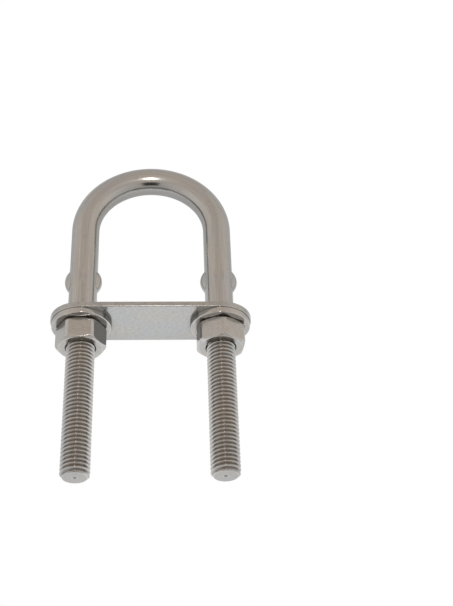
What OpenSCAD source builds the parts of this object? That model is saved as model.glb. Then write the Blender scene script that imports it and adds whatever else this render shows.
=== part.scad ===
// U-bolt: a round bar bent to a U with two threaded legs, a flat bridge plate
// that slides on both legs, and a washer and a hexagon nut on each leg.
// Millimetres. +Z runs along the legs towards the bow, X runs across the legs.
// The origin is midway between the legs, on the plate's underside.

/* [Bar] */
// Diameter of the round bar
rod_d = 12; // [10:0.5:12.5]
// Distance between the centres of the two legs
leg_spacing = 58; // [50:1:70]
// Height of the bow's top above the plate's underside
bow_height = 84; // [72:1:110]
// Length of each leg below the plate's underside
leg_drop = 70.5; // [50:0.5:110]

/* [Thread] */
// Major diameter of the rolled thread
thread_d = 11.9; // [9:0.1:11.95]
// Pitch of the thread
thread_pitch = 1.75; // [1.25:0.25:2]
// Length of the thread, from the end of the leg
thread_length = 69.5; // [40:0.5:70]
// Diameter of the centre punch mark in the end of each leg
punch_d = 2; // [1:0.5:3]

/* [Ears] */
// Width over the two pressed ears on a leg
ear_span = 15.8; // [14:0.2:16]
// Thickness of an ear, front to back
ear_t = 5; // [4:0.5:6]
// Height of the ears' middle above the plate's underside
ear_z = 21.2; // [18:0.2:24]
// Depth of the hollow that the press leaves, front and back
pinch_depth = 0.3; // [0.2:0.1:1.5]
// Radius of the press tool's round nose
pinch_r = 12; // [9:1:20]

/* [Bridge plate] */
// Width of the plate and diameter of its round ends
plate_w = 26; // [25:0.5:30]
// Thickness of the plate
plate_t = 2.5; // [1.5:0.5:4]
// Rounding along the plate's edges
plate_edge_r = 0.4; // [0.2:0.1:0.7]
// Diameter of the holes in the plate and the washers
hole_d = 13; // [12.6:0.1:14]

/* [Washers] */
// Outer diameter of a washer
washer_d = 25; // [24:0.5:28]
// Thickness of a washer
washer_t = 2.5; // [1.5:0.5:3]
// Bevel on a washer's lower rim
washer_bevel = 0.4; // [0.2:0.1:0.8]

/* [Nuts] */
// Width of a nut across its flats
nut_af = 19; // [18:0.5:20]
// Width of a nut across its rounded corners
nut_ac = 21.1; // [20.5:0.1:21.5]
// Height of a nut
nut_h = 9.8; // [8:0.1:12]
// Diameter of a nut's threaded bore, over the leg's thread
nut_bore_d = 12; // [11.96:0.02:12.1]
// Diameter of the countersink at each end of the bore
countersink_d = 13; // [12.4:0.1:13.5]
// Turn of the left nut about its leg
left_nut_turn = 0; // [0:0.2:60]
// Turn of the right nut about its leg
right_nut_turn = 36.6; // [0:0.2:60]

/* [Hidden] */
$fn = 96;

left_x = -leg_spacing / 2;
right_x = leg_spacing / 2;
bow_z = bow_height - leg_spacing / 2 - rod_d / 2;
thread_top_z = thread_length - leg_drop;
// the chamfer on the leg's end is as deep as the thread
tip_chamfer = 0.6134 * thread_pitch;
punch_depth = punch_d / 2;
// a nut's end faces stop at a circle a little smaller than its flats
nut_face_d = 0.95 * nut_af;
nut_corner_r = nut_af / 2 / cos(30);
nut_chamfer_h = (nut_corner_r - nut_face_d / 2) * tan(30);
countersink_h = (countersink_d - nut_bore_d) / 2;
nut_top_z = -washer_t;

// One leg: plain shank, rolled thread and chamfered end, drawn about its own axis
module leg() {
    translate([0, 0, thread_top_z])
        cylinder(h = bow_z - thread_top_z, d = rod_d);
    translate([0, 0, -leg_drop + tip_chamfer])
        cylinder(h = thread_length - tip_chamfer, d = thread_d);
    translate([0, 0, -leg_drop])
        cylinder(h = tip_chamfer, d1 = thread_d - 2 * tip_chamfer, d2 = thread_d);
}

// The two ears pressed out of a leg: one disc across it, with a round rim
module ears() {
    translate([0, 0, ear_z])
        rotate([90, 0, 0])
            rotate_extrude() {
                translate([(ear_span - ear_t) / 2, 0])
                    circle(d = ear_t);
                translate([0, -ear_t / 2])
                    square([(ear_span - ear_t) / 2, ear_t]);
            }
}

// The hollows that the press leaves between the ears, and the centre punch mark
module leg_marks() {
    for (side = [-1, 1])
        translate([0, side * (rod_d / 2 - pinch_depth + pinch_r), ear_z])
            sphere(r = pinch_r);
    translate([0, 0, -leg_drop])
        cylinder(h = punch_depth, d1 = punch_d, d2 = 0);
}

module bow() {
    translate([0, 0, bow_z])
        rotate([90, 0, 0])
            rotate_extrude(angle = 180)
                translate([leg_spacing / 2, 0])
                    circle(d = rod_d);
}

module u_rod() {
    color([0.66, 0.64, 0.61])
        difference() {
            union() {
                bow();
                for (x = [left_x, right_x])
                    translate([x, 0, 0]) {
                        leg();
                        ears();
                    }
            }
            for (x = [left_x, right_x])
                translate([x, 0, 0])
                    leg_marks();
        }
}

// Half of the plate's cross-section, from its middle to its rolled edge
module plate_edge_profile() {
    square([plate_w / 2 - plate_edge_r, plate_t]);
    translate([0, plate_edge_r])
        square([plate_w / 2, plate_t - 2 * plate_edge_r]);
    for (z = [plate_edge_r, plate_t - plate_edge_r])
        translate([plate_w / 2 - plate_edge_r, z])
            circle(r = plate_edge_r);
}

module bridge_plate() {
    color([0.72, 0.71, 0.69])
        difference() {
            union() {
                for (x = [left_x, right_x])
                    translate([x, 0, 0])
                        rotate_extrude()
                            plate_edge_profile();
                for (side = [0, 1])
                    rotate([0, 0, 180 * side])
                        translate([left_x, 0, 0])
                            rotate([90, 0, 90])
                                linear_extrude(leg_spacing)
                                    plate_edge_profile();
            }
            for (x = [left_x, right_x])
                translate([x, 0, -1])
                    cylinder(h = plate_t + 2, d = hole_d);
        }
}

module washer() {
    color([0.74, 0.73, 0.71])
        translate([0, 0, -washer_t])
            difference() {
                union() {
                    translate([0, 0, washer_bevel])
                        cylinder(h = washer_t - washer_bevel, d = washer_d);
                    cylinder(h = washer_bevel, d1 = washer_d - 2 * washer_bevel, d2 = washer_d);
                }
                translate([0, 0, -1])
                    cylinder(h = washer_t + 2, d = hole_d);
            }
}

module left_washer() {
    translate([left_x, 0, 0])
        washer();
}

module right_washer() {
    translate([right_x, 0, 0])
        washer();
}

// The cone that bevels a nut's corners and the countersink, at the nut's lower end
module nut_end(h, d_end, d_in) {
    cylinder(h = h, d1 = d_end, d2 = d_in);
}

module nut(turn) {
    color([0.68, 0.66, 0.63])
        translate([0, 0, nut_top_z - nut_h])
            rotate([0, 0, turn])
                difference() {
                    intersection() {
                        cylinder(h = nut_h, r = nut_corner_r, $fn = 6);
                        cylinder(h = nut_h, d = nut_ac);
                        union() {
                            nut_end(nut_chamfer_h, nut_face_d, 2 * nut_corner_r);
                            translate([0, 0, nut_chamfer_h])
                                cylinder(h = nut_h - 2 * nut_chamfer_h, r = nut_corner_r);
                            translate([0, 0, nut_h - nut_chamfer_h])
                                nut_end(nut_chamfer_h, 2 * nut_corner_r, nut_face_d);
                        }
                    }
                    translate([0, 0, -1])
                        cylinder(h = nut_h + 2, d = nut_bore_d);
                    nut_end(countersink_h, countersink_d, nut_bore_d);
                    translate([0, 0, nut_h - countersink_h])
                        nut_end(countersink_h, nut_bore_d, countersink_d);
                }
}

module left_nut() {
    translate([left_x, 0, 0])
        nut(left_nut_turn);
}

module right_nut() {
    translate([right_x, 0, 0])
        nut(right_nut_turn);
}

u_rod();
bridge_plate();
left_washer();
right_washer();
left_nut();
right_nut();
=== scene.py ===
"""The visual model of a stainless U-bolt: a bent round bar with pressed ears and threaded legs,
a bridge plate, and a washer and a hexagon nut on each leg.

Shapes are worked out in millimetres, in the CAD frame, and scaled to metres as each mesh is made.
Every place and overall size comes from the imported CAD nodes; only finer detail is stated here.
"""
import math

import bpy
import numpy as np
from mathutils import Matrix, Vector


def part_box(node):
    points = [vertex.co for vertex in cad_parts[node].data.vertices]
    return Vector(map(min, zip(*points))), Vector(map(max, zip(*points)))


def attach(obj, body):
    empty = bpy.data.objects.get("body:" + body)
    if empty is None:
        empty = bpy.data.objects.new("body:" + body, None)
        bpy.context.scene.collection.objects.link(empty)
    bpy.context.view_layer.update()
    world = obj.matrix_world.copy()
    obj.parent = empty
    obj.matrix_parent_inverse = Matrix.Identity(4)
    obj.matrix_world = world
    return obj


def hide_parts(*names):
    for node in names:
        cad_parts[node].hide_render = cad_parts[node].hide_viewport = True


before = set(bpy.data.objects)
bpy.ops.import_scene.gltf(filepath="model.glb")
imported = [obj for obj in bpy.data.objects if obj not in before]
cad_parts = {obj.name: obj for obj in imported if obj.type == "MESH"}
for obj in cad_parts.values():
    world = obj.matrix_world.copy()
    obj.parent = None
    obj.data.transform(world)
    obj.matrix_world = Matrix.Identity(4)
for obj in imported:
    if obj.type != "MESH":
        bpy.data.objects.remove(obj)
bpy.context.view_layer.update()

MM = 0.001
TAU = 2 * math.pi
WHITE = (1, 1, 1, 1)


# ---------------------------------------------------------------- sizes from the CAD nodes
def box_mm(node):
    lo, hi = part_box(node)
    return np.array(lo) / MM, np.array(hi) / MM


rod_lo, rod_hi = box_mm("u_rod")
plate_lo, plate_hi = box_mm("bridge_plate")
washer_lo, washer_hi = box_mm("right_washer")
nut_lo, nut_hi = box_mm("right_nut")

LEG_X = (washer_lo[0] + washer_hi[0]) / 2
ROD_R = rod_hi[1]
TIP_Z = rod_lo[2]
BOW_TOP = rod_hi[2]
BOW_R = LEG_X
BOW_Z = BOW_TOP - ROD_R - BOW_R
EAR_R = rod_hi[0] - LEG_X
PLATE_W = plate_hi[1] - plate_lo[1]
PLATE_T = plate_hi[2] - plate_lo[2]
WASHER_R = (washer_hi[0] - washer_lo[0]) / 2
WASHER_T = washer_hi[2] - washer_lo[2]
NUT_TOP = nut_hi[2]
NUT_H = nut_hi[2] - nut_lo[2]

# sizes that a bounding box doesn't give, as in the CAD source
THREAD_R = 5.95
PITCH = 1.75
THREAD_TOP = -1.0
EAR_T = 5.0
EAR_Z = 21.2
PINCH_DEPTH = 0.3
PINCH_R = 12.0
HOLE_R = 6.5
PLATE_EDGE_R = 0.4
NUT_AF = 19.0
NUT_AC = 21.1
NUT_FACE_D = 18.05
NUT_BORE_R = 6.0
NUT_CHAMFER = math.radians(30)
LEFT_TURN = 0.0
RIGHT_TURN = 36.6

# finer detail, only in this model
NUT_MINOR_R = 5.06  # the crests of a nut's thread
SHANK_BLEND = 0.5  # how softly the press's hollow runs into the shank
EAR_BLEND = 0.25  # how softly an ear grows out of the shank
WASHER_ROUNDING = [0.35, 0.5, 0.12, 0.25]  # hole below, rim below, rim above, hole above
NUT_ROUNDING = [0, 0.12, 0.3, 0.35, 0.5, 0.22, 0.12, 0]  # one for each corner of a nut's profile


# ---------------------------------------------------------------- camera
CAMERA_AT = Vector((0.0040, -0.3856, -0.2538))
CAMERA_AIM = Vector((0.0321, 0.0, 0.0104))
CAMERA_ROLL = 2.51
LENS = 65.15
SENSOR = 36.0


def make_camera():
    data = bpy.data.cameras.new("camera")
    data.lens = LENS
    data.sensor_width = SENSOR
    data.sensor_fit = "AUTO"
    data.clip_start = 0.01
    camera = bpy.data.objects.new("camera", data)
    bpy.context.scene.collection.objects.link(camera)
    turn = (CAMERA_AIM - CAMERA_AT).to_track_quat("-Z", "Y")
    camera.rotation_euler = turn.to_euler()
    camera.location = CAMERA_AT
    camera.rotation_euler.rotate_axis("Z", math.radians(-CAMERA_ROLL))
    bpy.context.scene.camera = camera


make_camera()


# ---------------------------------------------------------------- mesh helpers
def smooth_max(a, b, k):
    h = np.clip(0.5 + 0.5 * (a - b) / k, 0, 1)
    return b + (a - b) * h + k * h * (1 - h)


def smooth_min(a, b, k):
    return -smooth_max(-a, -b, k)


def smoothstep(lo, hi, x):
    t = np.clip((x - lo) / (hi - lo), 0, 1)
    return t * t * (3 - 2 * t)


def clean_faces(quads):
    """Drops repeated corners, so a quad whose side has shrunk to a point becomes a triangle."""
    faces = []
    for q in quads:
        f = [q[i] for i in range(len(q)) if q[i] != q[i - 1]]
        if len(set(f)) == len(f) and len(f) > 2:
            faces.append(tuple(f))
    return faces


def grid_quads(rows, close=True):
    """Quads between each row of vertex numbers and the next. rows is a list of equal-length rows."""
    quads = []
    for a, b in zip(rows[:-1], rows[1:]):
        n = len(a)
        for j in range(n if close else n - 1):
            k = (j + 1) % n
            quads.append((a[j], a[k], b[k], b[j]))
    return quads


def weld(verts, faces):
    """Joins vertices that lie at the same place, to a tenth of a micrometre."""
    keys = np.round(np.asarray(verts, float), 4) + 0.0
    _, first, back = np.unique(keys, axis=0, return_index=True, return_inverse=True)
    back = back.ravel()
    return clean_faces([tuple(int(first[back[i]]) for i in f) for f in faces])


def make_piece(name, verts, faces, material, layers, weighted=False, sharp=180):
    """A mesh piece from millimetre vertices. layers are vertex attributes that its material reads:
    one number or one vector a vertex. Vertices that no face uses are left out."""
    used = sorted({i for f in faces for i in f})
    number = {old: new for new, old in enumerate(used)}
    mesh = bpy.data.meshes.new(name)
    points = np.asarray(verts, float)[used] * MM
    mesh.from_pydata(points.tolist(), [], [tuple(number[i] for i in f) for f in faces])
    mesh.validate()
    mesh.shade_smooth()
    for layer, values in layers.items():
        values = np.asarray(values, np.float32)[used]
        if values.ndim == 1:
            made = mesh.attributes.new(layer, "FLOAT", "POINT")
            made.data.foreach_set("value", values)
        else:
            made = mesh.attributes.new(layer, "FLOAT_VECTOR", "POINT")
            made.data.foreach_set("vector", values.ravel())
    mesh.set_sharp_from_angle(angle=math.radians(sharp))
    mesh.materials.append(material)
    piece = bpy.data.objects.new(name, mesh)
    bpy.context.scene.collection.objects.link(piece)
    if weighted:
        normals = piece.modifiers.new("normals", "WEIGHTED_NORMAL")
        normals.weight = 60
        normals.keep_sharp = True
    return piece


def fillet(points, radii):
    """Rounds the corners of a profile. points is a list of (r, z) pairs of arrays, one value a column.
    Returns the new points and how near each is to a rounded edge, from 0 to 1."""
    out, edge = [], []
    for i, (r, z) in enumerate(points):
        if radii[i] <= 0:
            out.append((r, z))
            edge.append(0.0)
            continue
        here = np.stack([r, z])
        ends = []
        for other in (points[i - 1], points[i + 1]):
            to = np.stack(other) - here
            length = np.maximum(np.hypot(*to), 1e-9)
            ends.append(here + to * np.minimum(radii[i] / length, 0.45))
        # five points along a curve that leaves and meets the two flats in line with them
        for t in (0.0, 0.25, 0.5, 0.75, 1.0):
            p = (1 - t) ** 2 * ends[0] + 2 * t * (1 - t) * here + t**2 * ends[1]
            out.append((p[0], p[1]))
            edge.append(1.0 - 1.2 * abs(t - 0.5))
    return out, edge


# ---------------------------------------------------------------- the thread, shared by bar and nuts
# Half of one pitch of the ISO 60 degree profile, rounded as rolling leaves it: distance along the
# axis from the crest's middle, and depth below the crest, in millimetres.
ROOT_DEPTH = 0.6134 * PITCH
HALF_THREAD = [
    (0.055, 0.0),
    (0.105, 0.012),
    (0.150, 0.080),
    (0.610, 0.868),
    (0.700, 1.000),
    (0.790, 1.056),
]
PROFILE = [(-x, d) for x, d in reversed(HALF_THREAD)] + HALF_THREAD + [(PITCH / 2, ROOT_DEPTH)]
THREAD_X = np.array([x for x, _ in PROFILE])
THREAD_D = np.array([d for _, d in PROFILE])
CREST_Z = -40.0  # one crest at angle 0 on each leg
THREAD_RUNOUT = 1.6 * PITCH
JOIN_GAP = 0.004  # a thread's row this near a plain ring becomes a part of it


def threaded_columns(angles, z_lo, z_hi):
    """Heights of a right-hand helix's rows at each angle, and each row's place on the profile.
    Row i+len(THREAD_X) of the first column meets row i of the last one, one turn on."""
    per = len(THREAD_X)
    turns = int(math.ceil((z_hi - z_lo) / PITCH)) + 3
    first = math.floor((z_lo - CREST_Z) / PITCH) - 1
    base = np.concatenate([CREST_Z + PITCH * (first + n) + THREAD_X for n in range(turns)])
    depth = np.tile(THREAD_D, turns)
    z = base[None, :] + PITCH * np.asarray(angles)[:, None] / TAU
    return z, depth, per


def threaded_wall(angles, z_lo, z_hi, ring_lo, ring_hi, radius_at, first_vertex):
    """A threaded wall between two plain rings. Returns its points as four arrays, of angle number,
    radius, z and depth, numbered from first_vertex on, and faces wound as rings from z_lo to z_hi."""
    z, depth, per = threaded_columns(angles, z_lo, z_hi)
    columns, rows = z.shape
    number = np.zeros((columns, rows), int)
    points = []
    for j in range(columns):
        for i in range(rows):
            if z[j, i] <= z_lo + JOIN_GAP:
                number[j, i] = ring_lo[j]
            elif z[j, i] >= z_hi - JOIN_GAP:
                number[j, i] = ring_hi[j]
            else:
                number[j, i] = first_vertex + len(points)
                points.append((j, z[j, i], depth[i]))
    j = np.array([p[0] for p in points])
    zz = np.array([p[1] for p in points])
    dd = np.array([p[2] for p in points])
    quads = []
    for c in range(columns - 1):
        for i in range(rows - 1):
            quads.append((number[c, i], number[c + 1, i], number[c + 1, i + 1], number[c, i + 1]))
    for i in range(rows - 1 - per):
        last = columns - 1
        quads.append((number[last, i], number[0, i + per], number[0, i + 1 + per], number[last, i + 1]))
    return j, radius_at(np.asarray(angles)[j], zz, dd), zz, dd, clean_faces(quads)


# ---------------------------------------------------------------- the bar
BAR_COLUMNS = 96
BOW_STEPS = 110
SHANK_STEP = 1.4  # between a plain shank's rows
EAR_STEP = 0.28  # between rows across the ears
UPPER_SHANK_ROWS = 14
CHAMFER_START = 0.08  # height above the leg's end where its chamfered thread starts


def bar_angles():
    """Angles round the bar, closer together at its sides, where the ears are."""
    u = np.arange(BAR_COLUMNS) / BAR_COLUMNS * TAU
    return u - 0.2 * np.sin(2 * u)


def ear_reach(angle, z):
    """How far the ears' disc, with its round rim, reaches from the leg's axis along each angle."""
    rim = EAR_T / 2
    middle = EAR_R - rim
    lo, hi = np.zeros_like(z + angle), np.full_like(z + angle, 9.0)
    for _ in range(40):
        mid = (lo + hi) / 2
        x, y = mid * np.cos(angle), mid * np.sin(angle)
        outside = np.hypot(np.maximum(np.hypot(x, z - EAR_Z) - middle, 0), y) > rim
        hi = np.where(outside, mid, hi)
        lo = np.where(outside, lo, mid)
    return np.where(np.abs(z - EAR_Z) < EAR_R, lo, 0.0)


def pinch_reach(angle, z):
    """Distance from the leg's axis to the hollow that the press leaves, front and back."""
    centre = ROD_R - PINCH_DEPTH + PINCH_R
    along = centre * np.abs(np.sin(angle))
    inside = along**2 - (centre**2 + (z - EAR_Z) ** 2 - PINCH_R**2)
    return np.where(inside > 0, along - np.sqrt(np.maximum(inside, 0)), 99.0)


def shank_radius(angle, z):
    plain = np.full_like(z + angle, ROD_R)
    hollowed = smooth_min(plain, pinch_reach(angle, z), SHANK_BLEND)
    return smooth_max(hollowed, ear_reach(angle, z), EAR_BLEND)


def leg_thread_radius(angle, z, depth):
    # the thread runs out over its last turn and a half, up to the plain shank
    fade = 1 - smoothstep(THREAD_TOP - THREAD_RUNOUT, THREAD_TOP - 0.1, z)
    grown = (ROD_R - THREAD_R) * smoothstep(THREAD_TOP - 0.6, THREAD_TOP, z)
    radius = THREAD_R + grown - depth * fade
    cone = THREAD_R - ROOT_DEPTH + (z - TIP_Z)
    return smooth_min(radius, cone, 0.12)


def make_bar(material):
    """The whole bar as one closed mesh. Its "unbent" layer gives each point's place, in metres, on
    the same bar laid straight, with the bow's inner side at angle 0, so its grain follows the bend.
    The "groove" layer is 1 in the thread's roots, and "edge" is 1 on edges that are brightened,
    partly as wear and partly as a painted highlight."""
    angles = bar_angles()
    n = len(angles)
    cos, sin = np.cos(angles), np.sin(angles)
    total = 2 * (BOW_Z - TIP_Z) + math.pi * BOW_R
    verts, groove, edge, unbent, faces = [], [], [], [], []

    def add(points, grooves, edges, straight):
        first = len(verts)
        verts.extend(points)
        groove.extend(np.broadcast_to(grooves, len(points)).tolist())
        edge.extend(np.broadcast_to(edges, len(points)).tolist())
        unbent.extend((np.asarray(straight) * MM).tolist())
        return list(range(first, first + len(points)))

    def leg_points(side, j, radius, z):
        """Points on a leg, and the same points on the unbent bar."""
        here = np.stack([side * LEG_X + radius * cos[j], radius * sin[j], z], 1)
        length = z - TIP_Z if side < 0 else total - (z - TIP_Z)
        return here.tolist(), np.stack([-side * radius * cos[j], radius * sin[j], length], 1)

    def leg_ring(side, radius, z, g=0.0, e=0.0):
        here, straight = leg_points(side, np.arange(n), np.broadcast_to(radius, (n,)), np.full(n, z))
        return add(here, g, e, straight)

    ears_low = EAR_Z - EAR_R
    ears_high = EAR_Z + EAR_R
    shank_z = np.concatenate(
        [
            np.arange(THREAD_TOP, ears_low - 0.5, SHANK_STEP),
            np.arange(ears_low - 0.4, ears_high + 0.4, EAR_STEP),
            np.linspace(ears_high + 0.5, BOW_Z, UPPER_SHANK_ROWS),
        ]
    )
    end_r = THREAD_R - ROOT_DEPTH
    # the end face's rings, from the centre punch's mark out to the chamfer: radius, height above
    # the leg's end, groove and edge
    end_face = [
        (0.55, 0.45, 0.5, 0.0),
        (0.92, 0.07, 0.2, 0.5),
        (1.08, 0.0, 0.0, 0.8),
        (1.35, 0.0, 0.25, 0.0),
        (2.6, 0.0, 0.25, 0.0),
        (end_r - 0.45, 0.0, 0.25, 0.0),
        (end_r - 0.12, 0.012, 0.0, 0.6),
        (end_r + 0.03, CHAMFER_START, 0.0, 1.0),
    ]
    tops = []
    for side in (-1, 1):
        centre = leg_ring(side, 0.0, TIP_Z + 1.0, 0.8)
        cap = [[centre[0]] * n]
        cap += [leg_ring(side, r, TIP_Z + up, g, e) for r, up, g, e in end_face]
        shank = [leg_ring(side, shank_radius(angles, np.full(n, z)), z) for z in shank_z]
        j, radius, z, depth, wall = threaded_wall(
            angles, TIP_Z + CHAMFER_START, THREAD_TOP, cap[-1], shank[0], leg_thread_radius, len(verts)
        )
        below = (THREAD_R - radius) / ROOT_DEPTH
        on_thread = smoothstep(TIP_Z + 0.3, TIP_Z + 1.4, z)
        here, straight = leg_points(side, j, radius, z)
        add(here, np.clip(below, 0, 1) * on_thread, np.clip(1 - 6 * below, 0, 1), straight)
        faces.extend(grid_quads(cap) + wall + grid_quads(shank))
        tops.append(shank[-1])

    # the bow's rings, from the left leg's top over to the right leg's
    rows = [tops[0]]
    for s in range(1, BOW_STEPS):
        turned = math.pi * s / BOW_STEPS
        reach = BOW_R - ROD_R * cos
        here = np.stack(
            [-reach * math.cos(turned), ROD_R * sin, BOW_Z + reach * math.sin(turned)], 1
        )
        length = np.full(n, BOW_Z - TIP_Z + BOW_R * turned)
        rows.append(add(here.tolist(), 0, 0, np.stack([ROD_R * cos, ROD_R * sin, length], 1)))
    # the bow's inner side is angle 0 on the left leg and 180 on the right one
    half = n // 2
    rows.append([tops[1][(half - j) % n] for j in range(n)])
    faces.extend(grid_quads(rows))
    layers = {"groove": groove, "edge": edge, "unbent": unbent}
    return make_piece("bar", verts, clean_faces(faces), material, layers)


# ---------------------------------------------------------------- lathe pieces: washers and nuts
WASHER_COLUMNS = 96
COUNTERSINK = HOLE_R - NUT_BORE_R


def make_washer(name, side, material):
    n = WASHER_COLUMNS
    angles = np.arange(n) / n * TAU
    one = np.ones(n)
    corners = [
        (HOLE_R, -WASHER_T),
        (WASHER_R, -WASHER_T),
        (WASHER_R, 0.0),
        (HOLE_R, 0.0),
    ]
    # punched from the top: a broad roll on the lower rim, a crisp edge under the plate
    loop = [(r * one, z * one) for r, z in corners]
    rounded, edge_at = fillet([loop[-1]] + loop + [loop[0]], [0] + WASHER_ROUNDING + [0])
    rounded, edge_at = rounded[1:-1], edge_at[1:-1]
    verts, edges, rows = [], [], []
    for (r, z), e in zip(rounded, edge_at):
        rows.append(list(range(len(verts), len(verts) + n)))
        verts.extend(
            (side * LEG_X + r[j] * math.cos(angles[j]), r[j] * math.sin(angles[j]), z[j]) for j in range(n)
        )
        edges.extend([e] * n)
    quads = grid_quads(rows + [rows[0]])
    layers = {"edge": edges, "groove": [0] * len(verts)}
    return make_piece(name, verts, quads, material, layers, weighted=True)


# angles in degrees from a flat's middle, closer together towards the corner at 30
SECTOR = [0, 8, 16, 21, 23.5, 25, 26.2, 27.6]


def nut_angles(turn):
    """Angles round a nut, closer together at its six corners."""
    local = [-a for a in reversed(SECTOR[1:])] + SECTOR + [30.0]
    all_angles = [60 * k + 30 + a + turn for k in range(6) for a in local]
    return np.radians(np.sort(np.array(all_angles) % 360))


def nut_thread_radius(angle, z, depth):
    free = np.clip(THREAD_R - depth + 0.1, NUT_MINOR_R, NUT_BORE_R)
    low, high = NUT_TOP - NUT_H, NUT_TOP
    cone = HOLE_R - np.minimum(z - low, high - z)
    return smooth_max(free, cone, 0.08)


def make_nut(name, side, turn, material):
    angles = nut_angles(turn)
    n = len(angles)
    local = (np.degrees(angles) - turn) % 60 - 30
    across = smooth_min(NUT_AF / 2 / np.cos(np.radians(local)), np.full(n, NUT_AC / 2), 0.05)
    face_r = np.full(n, NUT_FACE_D / 2)
    bevel = (across - NUT_FACE_D / 2) * math.tan(NUT_CHAMFER)
    hole = np.full(n, HOLE_R)
    low = np.full(n, NUT_TOP - NUT_H)
    high = np.full(n, NUT_TOP)
    profile = [
        (np.full(n, NUT_BORE_R), low + COUNTERSINK),
        (hole, low),
        (face_r, low),
        (across, low + bevel),
        (across, high - bevel),
        (face_r, high),
        (hole, high),
        (np.full(n, NUT_BORE_R), high - COUNTERSINK),
    ]
    rounded, edge_at = fillet(profile, NUT_ROUNDING)
    rounded, edge_at = rounded[1:-1], edge_at[1:-1]
    verts, edges, groove, rows = [], [], [], []
    # the six upright corners are brightened too, partly as wear and partly as a painted highlight, as far
    # as they reach up the sides
    corner = smoothstep(24.5, 27.5, np.abs(local))
    for (r, z), e in zip(rounded, edge_at):
        rows.append(list(range(len(verts), len(verts) + n)))
        verts.extend(
            (side * LEG_X + r[j] * math.cos(angles[j]), r[j] * math.sin(angles[j]), z[j]) for j in range(n)
        )
        on_side = 1.0 if abs(r[0] - across[0]) < 0.3 else 0.0
        edges.extend(np.maximum(e, 0.8 * corner * on_side).tolist())
        groove.extend([0.0] * n)
    z_lo, z_hi = rounded[0][1][0], rounded[-1][1][0]
    j, radius, z, depth, wall = threaded_wall(
        angles, z_lo, z_hi, rows[0], rows[-1], nut_thread_radius, len(verts)
    )
    pts = np.stack([side * LEG_X + radius * np.cos(angles[j]), radius * np.sin(angles[j]), z], 1)
    verts.extend(pts.tolist())
    edges.extend([0.0] * len(j))
    groove.extend([1.0] * len(j))
    # rows go outwards and up, so the bore's faces are turned to face its axis
    faces = grid_quads(rows) + [tuple(reversed(f)) for f in wall]
    layers = {"edge": edges, "groove": groove}
    return make_piece(name, verts, faces, material, layers, weighted=True, sharp=50)


# ---------------------------------------------------------------- the bridge plate
END_COLUMNS = 30  # round a quarter of the plate's end
SIDE_COLUMNS = 18  # along its straight side
MIDDLE_COLUMNS = 7  # along the cut at its middle
FLAT_ROWS = (0.04, 0.35, 0.7, 0.96)  # across a flat face, from the hole, 0, to the rim, 1
ROLL_STEPS = 6


def half_outline(inset, angles):
    """Points of the plate's right half at each angle round its hole, inset from the rim.
    Returns x, y and the outward normal; the normal is 0 on the cut at the plate's middle."""
    half_w = PLATE_W / 2
    x, y, nx, ny = [], [], [], []
    for a in angles:
        c, s = math.cos(a), math.sin(a)
        if c >= -1e-9:
            x.append(LEG_X + (half_w - inset) * c)
            y.append((half_w - inset) * s)
            nx.append(c)
            ny.append(s)
            continue
        to_side = (half_w - inset) / max(abs(s), 1e-9)
        to_middle = LEG_X / -c
        if to_side <= to_middle + 1e-6:
            x.append(LEG_X + to_side * c)
            y.append(math.copysign(half_w - inset, s))
            nx.append(0.0)
            ny.append(math.copysign(1.0, s))
        else:
            x.append(0.0)
            y.append(to_middle * s)
            nx.append(0.0)
            ny.append(0.0)
    return np.array(x), np.array(y), np.array(nx), np.array(ny)


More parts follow.
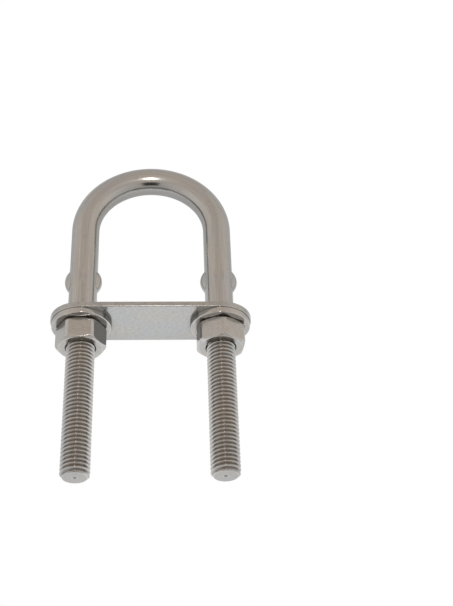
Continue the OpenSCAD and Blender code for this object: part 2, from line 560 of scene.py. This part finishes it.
def make_plate(material):
    corner = math.pi - math.atan2(PLATE_W / 2 - PLATE_EDGE_R, LEG_X)
    front = np.concatenate(
        [
            np.linspace(0, math.pi / 2, END_COLUMNS, endpoint=False),
            np.linspace(math.pi / 2, corner, SIDE_COLUMNS, endpoint=False),
            np.linspace(corner, math.pi, MIDDLE_COLUMNS, endpoint=False),
        ]
    )
    angles = np.concatenate([front, [math.pi], TAU - front[:0:-1]])
    n = len(angles)
    cos, sin = np.cos(angles), np.sin(angles)
    rim_x, rim_y, normal_x, normal_y = half_outline(PLATE_EDGE_R, angles)
    on_rim = np.hypot(normal_x, normal_y) > 0.5
    # rows from the hole's lower edge out, round the rolled rim and back in: how far out from the
    # hole to the rim, how far beyond the rim, height, and how much edge wear and painted highlight
    hole = [(0.0, 0.25, 0.6), (0.08, 0.07, 1.0), (0.25, 0.0, 0.6)]
    rows = [("hole", out, z, wear_and_highlight) for out, z, wear_and_highlight in hole]
    rows += [("flat", t, 0.0, 0.0) for t in FLAT_ROWS]
    for base, start in ((PLATE_EDGE_R, 0.0), (PLATE_T - PLATE_EDGE_R, math.pi / 2)):
        for s in range(ROLL_STEPS + 1):
            a = start + math.pi / 2 * s / ROLL_STEPS
            out = PLATE_EDGE_R * math.sin(a)
            wear_and_highlight = 0.6 * math.sin(2 * a) ** 2
            rows.append(("roll", out, base - PLATE_EDGE_R * math.cos(a), wear_and_highlight))
    rows += [("flat", t, PLATE_T, 0.0) for t in reversed(FLAT_ROWS)]
    rows += [("hole", out, PLATE_T - z, wear_and_highlight) for out, z, wear_and_highlight in reversed(hole)]

    verts, edges, faces = [], [], []
    for side in (1, -1):
        numbers = []
        for part, out, z, wear_and_highlight in rows:
            hole_r = HOLE_R + (out if part == "hole" else hole[-1][0])
            x, y = LEG_X + hole_r * cos, hole_r * sin
            if part == "flat":
                x, y = x + (rim_x - x) * out, y + (rim_y - y) * out
            if part == "roll":
                x, y = rim_x + normal_x * out, rim_y + normal_y * out
            numbers.append(list(range(len(verts), len(verts) + n)))
            verts.extend(zip(side * x, y, np.full(n, z)))
            edges.extend([wear_and_highlight] * n)
        ring = list(zip(rows, numbers))
        ring.append(ring[0])
        for (kind_a, a), (kind_b, b) in zip(ring[:-1], ring[1:]):
            rolled = kind_a[0] == kind_b[0] == "roll"
            for j in range(n):
                k = (j + 1) % n
                if not rolled or (on_rim[j] and on_rim[k]):
                    quad = (a[j], a[k], b[k], b[j])
                    faces.append(quad if side > 0 else tuple(reversed(quad)))
    layers = {"edge": edges, "groove": [0] * len(verts)}
    return make_piece("plate", verts, weld(verts, faces), material, layers, weighted=True)


# ---------------------------------------------------------------- materials
# edges are brightened towards this colour, partly as wear and partly as a painted highlight
WEAR_AND_HIGHLIGHT_STEEL = (0.86, 0.85, 0.83, 1)
RECESS_SHADE_DARKNESS = 0.55  # painted recess shade's colour, over the stain's
RECESS_SHADE_REACH = 0.008  # how far away a neighbour still casts painted shade into a recess, in metres
RING_SPACING = 0.00032  # between two turning marks, in metres


def node(tree, kind, inputs=None, **settings):
    made = tree.nodes.new(kind)
    for key, value in settings.items():
        setattr(made, key, value)
    for key, value in (inputs or {}).items():
        if isinstance(value, bpy.types.NodeSocket):
            tree.links.new(value, made.inputs[key])
        else:
            made.inputs[key].default_value = value
    return made


def remap(tree, value, lo, hi, to_lo, to_hi):
    made = node(tree, "ShaderNodeMapRange", {0: value, 1: lo, 2: hi, 3: to_lo, 4: to_hi})
    return made.outputs[0]


def mix_colour(tree, factor, a, b, blend="MIX"):
    made = node(tree, "ShaderNodeMix", data_type="RGBA", blend_type=blend)
    for index, value in ((0, factor), (6, a), (7, b)):
        if isinstance(value, bpy.types.NodeSocket):
            tree.links.new(value, made.inputs[index])
        else:
            made.inputs[index].default_value = value
    return made.outputs[2]


def math_node(tree, operation, a, b=0.0):
    made = node(tree, "ShaderNodeMath", {0: a, 1: b}, operation=operation)
    return made.outputs[0]


def steel(name, colour, stain, rough, grain_scale, grain, wave, follow=None, rings=0.0):
    """Polished stainless steel, with streaks along its fine polishing lines, dull spots, oxide in its
    grooves, edges brightened partly by wear and partly by a painted highlight, and painted shade that
    darkens its recesses. grain_scale stretches the lines, grain and wave are the depths in metres of
    the lines and of the surface's slow waviness, follow names a vector layer that the lines run along,
    and rings is the depth in metres of its turning marks."""
    made = bpy.data.materials.new(name)
    made.use_nodes = True
    tree = made.node_tree
    tree.nodes.clear()
    output = node(tree, "ShaderNodeOutputMaterial")
    shader = node(tree, "ShaderNodeBsdfPrincipled", {"Metallic": 1.0})
    tree.links.new(shader.outputs[0], output.inputs[0])
    place = node(tree, "ShaderNodeTexCoord")
    solid = place.outputs["Object"]
    where = solid
    if follow:
        where = node(tree, "ShaderNodeAttribute", attribute_name=follow).outputs["Vector"]

    lines_at = node(tree, "ShaderNodeMapping", {"Vector": where, "Scale": grain_scale})
    lines = node(
        tree,
        "ShaderNodeTexNoise",
        {"Vector": lines_at.outputs[0], "Scale": 1.0, "Detail": 4.0, "Roughness": 0.6},
    )
    slow = node(
        tree, "ShaderNodeTexNoise", {"Vector": solid, "Scale": 70.0, "Detail": 2.0, "Roughness": 0.5}
    )
    spots = node(
        tree, "ShaderNodeTexNoise", {"Vector": solid, "Scale": 420.0, "Detail": 3.0, "Roughness": 0.65}
    )
    groove = node(tree, "ShaderNodeAttribute", attribute_name="groove").outputs["Fac"]
    edge = node(tree, "ShaderNodeAttribute", attribute_name="edge").outputs["Fac"]

    # colour: slight warm and cool drift, painted shade in recesses, darker oxide in the grooves, edges
    # brightened by wear and a painted highlight
    drift = remap(tree, slow.outputs[0], 0.35, 0.65, 0.0, 1.0)
    cool = (colour[0] * 0.97, colour[1] * 0.985, colour[2] * 1.01, 1)
    warm = (colour[0] * 1.02, colour[1] * 1.0, colour[2] * 0.96, 1)
    base = mix_colour(tree, drift, cool, warm)
    dull = remap(tree, spots.outputs[0], 0.56, 0.78, 0.0, 0.22)
    base = mix_colour(tree, dull, base, (*stain, 1))
    streak = remap(tree, lines.outputs[0], 0.3, 0.7, 0.86, 1.06)
    streak_grey = node(tree, "ShaderNodeCombineColor", {0: streak, 1: streak, 2: streak})
    base = mix_colour(tree, 1.0, base, streak_grey.outputs[0], "MULTIPLY")
    # painted shade: the colour is darkened where neighbours are near, as shade would fall into recesses
    occluded = node(tree, "ShaderNodeAmbientOcclusion", {"Distance": RECESS_SHADE_REACH}, samples=8)
    recess = occluded.outputs["AO"]
    painted_recess_shade = remap(tree, recess, 0.2, 0.8, 0.7, 0.0)
    recess_shade_colour = tuple(RECESS_SHADE_DARKNESS * part for part in stain)
    base = mix_colour(tree, painted_recess_shade, base, (*recess_shade_colour, 1))
    in_groove = math_node(tree, "POWER", groove, 1.4)
    uneven = remap(tree, spots.outputs[0], 0.3, 0.7, 0.75, 1.0)
    in_groove = math_node(tree, "MULTIPLY", in_groove, uneven)
    base = mix_colour(tree, in_groove, base, (*stain, 1))
    # wear and painted highlight: edges are brightened, unevenly, towards a pale steel
    wear_and_highlight = math_node(tree, "MULTIPLY", edge, remap(tree, spots.outputs[0], 0.35, 0.6, 0.35, 0.8))
    base = mix_colour(tree, wear_and_highlight, base, WEAR_AND_HIGHLIGHT_STEEL)
    tree.links.new(base, shader.inputs["Base Color"])

    # roughness: polishing lines and faint hazy patches, duller in the grooves
    fine = remap(tree, lines.outputs[0], 0.3, 0.7, rough * 0.75, rough * 1.3)
    hazy = remap(tree, slow.outputs[0], 0.3, 0.7, -0.02, 0.03)
    total = math_node(tree, "ADD", fine, hazy)
    total = math_node(tree, "ADD", total, math_node(tree, "MULTIPLY", groove, 0.14))
    total = math_node(tree, "MAXIMUM", total, 0.03)
    tree.links.new(total, shader.inputs["Roughness"])

    bump = node(
        tree, "ShaderNodeBump", {"Height": slow.outputs[0], "Strength": 1.0, "Distance": wave}
    )
    bump = node(
        tree,
        "ShaderNodeBump",
        {"Height": lines.outputs[0], "Strength": 1.0, "Distance": grain, "Normal": bump.outputs[0]},
    )
    if rings:
        # faint turning marks on the faces across the legs' axes, centred on each leg
        xyz = node(tree, "ShaderNodeSeparateXYZ", {0: solid})
        off = math_node(tree, "SUBTRACT", math_node(tree, "ABSOLUTE", xyz.outputs[0]), LEG_X * MM)
        squares = math_node(
            tree, "ADD", math_node(tree, "MULTIPLY", off, off),
            math_node(tree, "MULTIPLY", xyz.outputs[1], xyz.outputs[1]),
        )
        radius = math_node(tree, "SQRT", squares)
        turned = math_node(tree, "SINE", math_node(tree, "MULTIPLY", radius, TAU / RING_SPACING))
        normal = node(tree, "ShaderNodeTexCoord").outputs["Normal"]
        upright = node(tree, "ShaderNodeSeparateXYZ", {0: normal}).outputs[2]
        facing = math_node(tree, "ABSOLUTE", upright)
        only = remap(tree, facing, 0.9, 0.99, 0.0, 1.0)
        bump = node(
            tree,
            "ShaderNodeBump",
            {
                "Height": math_node(tree, "MULTIPLY", turned, only),
                "Strength": 1.0,
                "Distance": rings,
                "Normal": bump.outputs[0],
            },
        )
    tree.links.new(bump.outputs[0], shader.inputs["Normal"])
    return made


STAIN = (0.30, 0.262, 0.225)
bar_steel = steel(
    "bar_steel",
    colour=(0.655, 0.65, 0.64),
    stain=(0.33, 0.30, 0.27),
    rough=0.17,
    grain_scale=(1700, 1700, 45),
    grain=5e-6,
    wave=2.5e-5,
    follow="unbent",
    rings=3e-6,
)
plate_steel = steel(
    "plate_steel",
    colour=(0.63, 0.635, 0.635),
    stain=STAIN,
    rough=0.16,
    grain_scale=(700, 1100, 700),
    grain=5e-6,
    wave=3e-5,
)
washer_steel = steel(
    "washer_steel",
    colour=(0.61, 0.60, 0.585),
    stain=STAIN,
    rough=0.16,
    grain_scale=(900, 900, 900),
    grain=4e-6,
    wave=2e-5,
    rings=2e-6,
)
nut_steel = steel(
    "nut_steel",
    colour=(0.60, 0.585, 0.565),
    stain=STAIN,
    rough=0.18,
    grain_scale=(1100, 1100, 1500),
    grain=6e-6,
    wave=2e-5,
    rings=4e-6,
)

# ---------------------------------------------------------------- pieces
bar = make_bar(bar_steel)
plate = make_plate(plate_steel)
left_washer = make_washer("left_washer_ring", -1, washer_steel)
right_washer = make_washer("right_washer_ring", 1, washer_steel)
left_nut = make_nut("left_hex_nut", -1, LEFT_TURN, nut_steel)
right_nut = make_nut("right_hex_nut", 1, RIGHT_TURN, nut_steel)

for piece, body, cad_node, slot in (
    (bar, "rod", "u_rod", "bar"),
    (plate, "plate", "bridge_plate", "plate"),
    (left_washer, "left_washer", "left_washer", "washer"),
    (right_washer, "right_washer", "right_washer", "washer"),
    (left_nut, "left_nut", "left_nut", "nut"),
    (right_nut, "right_nut", "right_nut", "nut"),
):
    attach(piece, body)
    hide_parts(cad_node)


# ---------------------------------------------------------------- stage and light
def plain_surface(name, colour, rough, glow=0.0):
    """A plain paint for the set, with glow as the light it gives off."""
    made = bpy.data.materials.new(name)
    made.use_nodes = True
    shader = made.node_tree.nodes["Principled BSDF"]
    shader.inputs["Emission Color"].default_value = WHITE
    shader.inputs["Emission Strength"].default_value = glow
    shader.inputs["Base Color"].default_value = (*colour, 1)
    shader.inputs["Roughness"].default_value = rough
    shader.inputs["Specular IOR Level"].default_value = 0.2
    return made


def stage_face(name, corners, material):
    """One flat face of the set, which isn't part of the object."""
    mesh = bpy.data.meshes.new(name)
    mesh.from_pydata(corners, [], [tuple(range(len(corners)))])
    mesh.materials.append(material)
    made = bpy.data.objects.new(name, mesh)
    bpy.context.scene.collection.objects.link(made)
    return made


# places and sizes here are in metres
FLOOR_Z = -0.46
FLOOR_HALF = 4
floor = stage_face(
    "floor",
    [
        (-FLOOR_HALF, -FLOOR_HALF, FLOOR_Z),
        (FLOOR_HALF, -FLOOR_HALF, FLOOR_Z),
        (FLOOR_HALF, FLOOR_HALF, FLOOR_Z),
        (-FLOOR_HALF, FLOOR_HALF, FLOOR_Z),
    ],
    plain_surface("floor_paint", (0.5, 0.5, 0.495), 0.7, 0.5),
)
floor.visible_glossy = False

# the white table that the bolt lies on, seen only in its reflections, so no view is blocked
TABLE_Y = plate_hi[1] * MM + 0.0004
TABLE_HALF = 1.5
TABLE_LOW = -0.45
TABLE_HIGH = 1.5
TABLE_MIDDLE = (0, TABLE_Y, -0.04)
TABLE_NEAR, TABLE_FAR = 0.035, 0.10
GLOW_NEAR, GLOW_FAR = 0.68, 0.38
SECOND_REFLECTION = 0.35


def table_paint():
    """White, with a painted pool of light: it glows brightest between the legs and dimmer away from them.
    """
    made = plain_surface("table_paint", (0.2, 0.2, 0.2), 0.8)
    tree = made.node_tree
    shader = tree.nodes["Principled BSDF"]
    place = node(tree, "ShaderNodeTexCoord").outputs["Object"]
    from_middle = node(
        tree, "ShaderNodeVectorMath", {0: place, 1: TABLE_MIDDLE}, operation="DISTANCE"
    )
    glow = remap(
        tree, from_middle.outputs["Value"], TABLE_NEAR, TABLE_FAR, GLOW_NEAR, GLOW_FAR
    )
    # painted shade: in reflections of reflections, in the gaps between the pieces, the table's glow is
    # dimmed
    bounces = node(tree, "ShaderNodeLightPath").outputs["Glossy Depth"]
    dimmed = remap(tree, bounces, 1.0, 2.0, 1.0, SECOND_REFLECTION)
    glow = math_node(tree, "MULTIPLY", glow, dimmed)
    tree.links.new(glow, shader.inputs["Emission Strength"])
    return made


table = stage_face(
    "table",
    [
        (-TABLE_HALF, TABLE_Y, TABLE_LOW),
        (TABLE_HALF, TABLE_Y, TABLE_LOW),
        (TABLE_HALF, TABLE_Y, TABLE_HIGH),
        (-TABLE_HALF, TABLE_Y, TABLE_HIGH),
    ],
    table_paint(),
)
table.visible_camera = False
table.visible_shadow = False


def area_light(name, at, aim, size, watts, colour):
    data = bpy.data.lights.new(name, "AREA")
    data.shape = "RECTANGLE"
    data.size, data.size_y = size
    data.energy = watts
    data.color = colour
    made = bpy.data.objects.new(name, data)
    made.location = at
    made.rotation_euler = (Vector(aim) - Vector(at)).to_track_quat("-Z", "Y").to_euler()
    bpy.context.scene.collection.objects.link(made)
    made.visible_camera = False
    return made


# the small bright lamp, behind and above the camera, which makes the highlights
lamp = area_light(
    "lamp",
    at=(0, -0.69, -0.06),
    aim=(0, 0, 0.03),
    size=(0.07, 0.17),
    watts=0.3,
    colour=(1.0, 0.98, 0.94),
)
lamp.visible_diffuse = False

# the dark body of the photographer's camera, seen only in reflections: a slanting card, given by
# the X of its sides, and the Y and Z of its lower and its upper edge
CARD_LEFT, CARD_RIGHT = -0.09, 0.10
CARD_LOW = (-0.16, -0.38)
CARD_HIGH = (-0.33, -0.24)
camera_body = stage_face(
    "camera_body",
    [
        (CARD_LEFT, *CARD_LOW),
        (CARD_RIGHT, *CARD_LOW),
        (CARD_RIGHT, *CARD_HIGH),
        (CARD_LEFT, *CARD_HIGH),
    ],
    plain_surface("camera_black", (0.02, 0.02, 0.02), 0.5),
)
camera_body.visible_camera = False
camera_body.visible_shadow = False
camera_body.visible_diffuse = False


# the room's brightness from straight down, 0, to straight up, 1
ROOM_STOPS = [
    (0.0, (0.44, 0.42, 0.40)),
    (0.2, (0.54, 0.52, 0.49)),
    (0.45, (0.66, 0.62, 0.58)),
    (0.78, (0.60, 0.55, 0.505)),
    (1.0, (0.46, 0.43, 0.40)),
]
PHOTOGRAPHER_SIDE = (0.86, 0.82, 0.79, 1)
FAR_SIDE = (0.7, 0.7, 0.7, 1)


def make_world():
    """The room, which only reflections and diffuse light see. The camera sees plain white."""
    world = bpy.data.worlds.new("room")
    bpy.context.scene.world = world
    world.use_nodes = True
    tree = world.node_tree
    tree.nodes.clear()
    output = node(tree, "ShaderNodeOutputWorld")
    direction = node(tree, "ShaderNodeTexCoord").outputs["Generated"]
    xyz = node(tree, "ShaderNodeSeparateXYZ", {0: direction})
    height = math_node(tree, "MULTIPLY_ADD", xyz.outputs[2], 0.5)
    height.node.inputs[2].default_value = 0.5
    room = node(tree, "ShaderNodeValToRGB", {0: height})
    ramp = room.color_ramp
    while len(ramp.elements) < len(ROOM_STOPS):
        ramp.elements.new(0.5)
    for element, (at, colour) in zip(ramp.elements, ROOM_STOPS):
        element.position = at
        element.color = (*colour, 1)
    # the side that the photographer stands on is a little darker and warmer
    front = remap(tree, xyz.outputs[1], -0.6, -0.82, 0.0, 1.0)
    dimmed = mix_colour(tree, front, room.outputs[0], PHOTOGRAPHER_SIDE, "MULTIPLY")
    # the far side is one even grey
    behind = remap(tree, xyz.outputs[1], -0.02, 0.05, 0.0, 1.0)
    both = mix_colour(tree, behind, dimmed, FAR_SIDE)
    seen = node(tree, "ShaderNodeLightPath").outputs["Is Camera Ray"]
    final = mix_colour(tree, seen, both, WHITE)
    background = node(tree, "ShaderNodeBackground", {"Color": final, "Strength": 1.0})
    tree.links.new(background.outputs[0], output.inputs[0])


make_world()
bpy.context.scene.view_settings.view_transform = "Standard"
